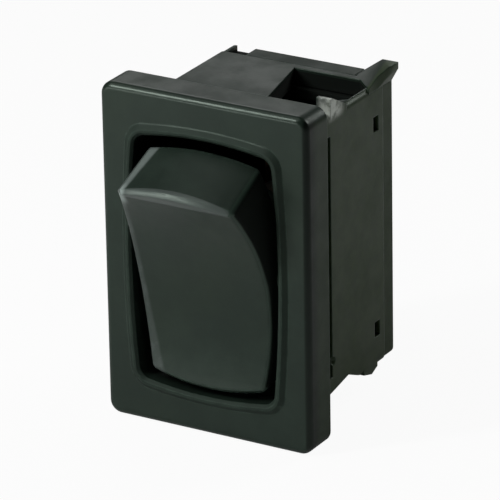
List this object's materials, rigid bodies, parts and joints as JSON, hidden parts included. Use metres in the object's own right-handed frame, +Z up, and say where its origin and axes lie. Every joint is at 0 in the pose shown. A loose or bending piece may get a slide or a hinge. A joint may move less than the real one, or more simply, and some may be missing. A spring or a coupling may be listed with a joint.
{
  "type": "rocker switch",
  "caption": "Snap-in rocker switch with a bowed bezel opening, a dished rocker, a spring plunger, a rocking contact lever and quick-connect tabs.",
  "frame": {"origin": "centre of the bezel flange's back face, where it seats on the panel", "axes": "+Y back into the panel, +Z up, +X to the right as seen from the front"},
  "size_m": [0.0156, 0.0247, 0.0238],
  "materials": {
    "housing_plastic": "satin, fine moulded grain",
    "cover_plastic": "satin",
    "rocker_plastic": "soft satin gloss",
    "plunger_plastic": "natural nylon",
    "spring_steel": "drawn wire",
    "lever_copper": "rolled copper strip",
    "contact_silver": "silver rivet",
    "terminal_brass": "rolled brass, tin flash"
  },
  "bodies": {
    "housing": {"housing": "housing_plastic", "rear_cover": "cover_plastic", "common_terminal": "terminal_brass", "upper_terminal": "terminal_brass", "lower_terminal": "terminal_brass", "upper_fixed_contact": "contact_silver", "lower_fixed_contact": "contact_silver"},
    "rocker": {"rocker": "rocker_plastic", "plunger_spring": "spring_steel"},
    "plunger": {"plunger": "plunger_plastic"},
    "contact_lever": {"contact_lever": "lever_copper", "upper_moving_contact": "contact_silver", "lower_moving_contact": "contact_silver"}
  },
  "joints": [
    {"name": "rocker_tilt", "type": "hinge", "parent": "housing", "child": "rocker", "pos_m": [0, -0.0012, 0], "axis": [1, 0, 0], "range_deg": [-30.6, 0]},
    {"name": "plunger_slide", "type": "slide", "parent": "rocker", "child": "plunger", "axis": [0, -0.9646, -0.2639], "range_m": [0, 0.0008], "stiffness_N_per_m": 400, "springref_m": -0.002, "deforming": ["plunger_spring"]},
    {"name": "lever_tilt", "type": "hinge", "parent": "housing", "child": "contact_lever", "pos_m": [0, 0.0082, 0], "axis": [1, 0, 0], "range_deg": [0, 18]}
  ],
  "couplings": [
    {"joint": "lever_tilt", "follows": "rocker_tilt", "ratio": -0.5882}
  ]
}
